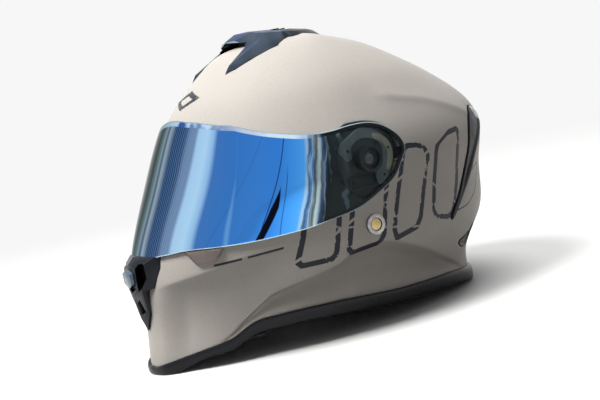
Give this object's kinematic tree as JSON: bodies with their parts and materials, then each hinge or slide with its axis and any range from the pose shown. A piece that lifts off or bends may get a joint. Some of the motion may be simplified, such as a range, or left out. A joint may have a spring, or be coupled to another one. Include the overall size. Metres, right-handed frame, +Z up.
{
  "type": "motorcycle helmet",
  "caption": "Full-face motorcycle helmet: painted shell, pivoting mirror visor, top, chin and rear vents, impact and comfort liners, chin strap with ratchet buckle.",
  "frame": {"origin": "on the ground plane under the centre of the overall box, the helmet resting upright on its base trim", "axes": "+Z up, -Y towards the wearer's front (visor side), +X the wearer's left"},
  "size_m": [0.2676, 0.3607, 0.2676],
  "materials": {
    "shell_paint": "warm grey satin-matte paint with fine metallic flake over a composite shell",
    "visor_mirror": "blue mirror coating that fades to clear dark green smoke at the rear ends",
    "vent_black": "black-blue satin moulding",
    "vent_dark": "dark grey fine-grained moulding",
    "trim_rubber": "black matte rubber",
    "impact_foam": "black moulded expanded polystyrene",
    "lining_cloth": "black knitted lining",
    "webbing": "black woven webbing",
    "tab_resin": "smoked brown translucent resin",
    "mechanism": "dark grey moulded plastic",
    "lever_red": "red moulded plastic",
    "bright_steel": "bright plated steel",
    "mesh_steel": "blackened woven mesh",
    "rivet_brass": "dull brass"
  },
  "bodies": {
    "helmet": {"outer_shell": "shell_paint", "base_trim": "trim_rubber", "eyeport_gasket": "trim_rubber", "eps_crown_liner": "impact_foam", "eps_chin_liner": "impact_foam", "crown_pad": "lining_cloth", "cheek_pad_left": "lining_cloth", "cheek_pad_right": "lining_cloth", "neck_roll": "lining_cloth", "chin_curtain": "lining_cloth", "breath_deflector": "trim_rubber", "visor_base_plate_left": "mechanism", "visor_base_plate_right": "mechanism", "pivot_screw_left": "bright_steel", "pivot_screw_right": "bright_steel", "strap_rivet_ring_left": "bright_steel", "strap_rivet_ring_right": "bright_steel", "strap_rivet_core_left": "rivet_brass", "strap_rivet_core_right": "rivet_brass", "top_vent_cowl": "vent_black", "chin_vent_frame": "vent_black", "chin_vent_mesh": "mesh_steel", "rear_exhaust_left": "vent_black", "rear_exhaust_right": "vent_black", "rear_lower_vent_left": "vent_black", "rear_lower_vent_right": "vent_black", "chin_strap_left": "webbing", "chin_strap_right": "webbing", "strap_anchor_left": "bright_steel", "strap_anchor_right": "bright_steel", "strap_pad_left": "lining_cloth", "strap_pad_right": "lining_cloth", "buckle_frame": "bright_steel", "buckle_pin": "bright_steel"},
    "visor_assembly": {"visor": "visor_mirror", "visor_lift_tab": "tab_resin", "visor_hub_left": "mechanism", "visor_hub_right": "mechanism"},
    "release_lever_left": {"release_lever_left": "lever_red"},
    "release_lever_right": {"release_lever_right": "lever_red"},
    "top_vent_slider": {"top_vent_slider": "vent_dark"},
    "chin_vent_button": {"chin_vent_button": "vent_dark"},
    "ratchet_tongue": {"ratchet_tongue": "vent_dark"},
    "buckle_lever": {"buckle_lever": "lever_red"}
  },
  "joints": [
    {"name": "visor_lift", "type": "hinge", "parent": "helmet", "child": "visor_assembly", "pos_m": [0, 0.0008, 0.141], "axis": [-1, 0, 0], "range_deg": [0, 34]},
    {"name": "release_left", "type": "hinge", "parent": "helmet", "child": "release_lever_left", "pos_m": [0.119, -0.0156, 0.124], "axis": [1, 0, 0], "range_deg": [0, 12]},
    {"name": "release_right", "type": "hinge", "parent": "helmet", "child": "release_lever_right", "pos_m": [-0.119, -0.0156, 0.124], "axis": [1, 0, 0], "range_deg": [0, 12]},
    {"name": "top_vent_slide", "type": "slide", "parent": "helmet", "child": "top_vent_slider", "axis": [0, 1, 0], "range_m": [0, 0.008]},
    {"name": "chin_vent_slide", "type": "slide", "parent": "helmet", "child": "chin_vent_button", "axis": [0, 0, -1], "range_m": [0, 0.004]},
    {"name": "tongue_slide", "type": "slide", "parent": "helmet", "child": "ratchet_tongue", "axis": [1, 0, 0], "range_m": [-0.005, 0.009]},
    {"name": "buckle_lever_pivot", "type": "hinge", "parent": "helmet", "child": "buckle_lever", "pos_m": [0.013, -0.04723, 0.0362], "axis": [0, -1, 0], "range_deg": [0, 60]}
  ]
}
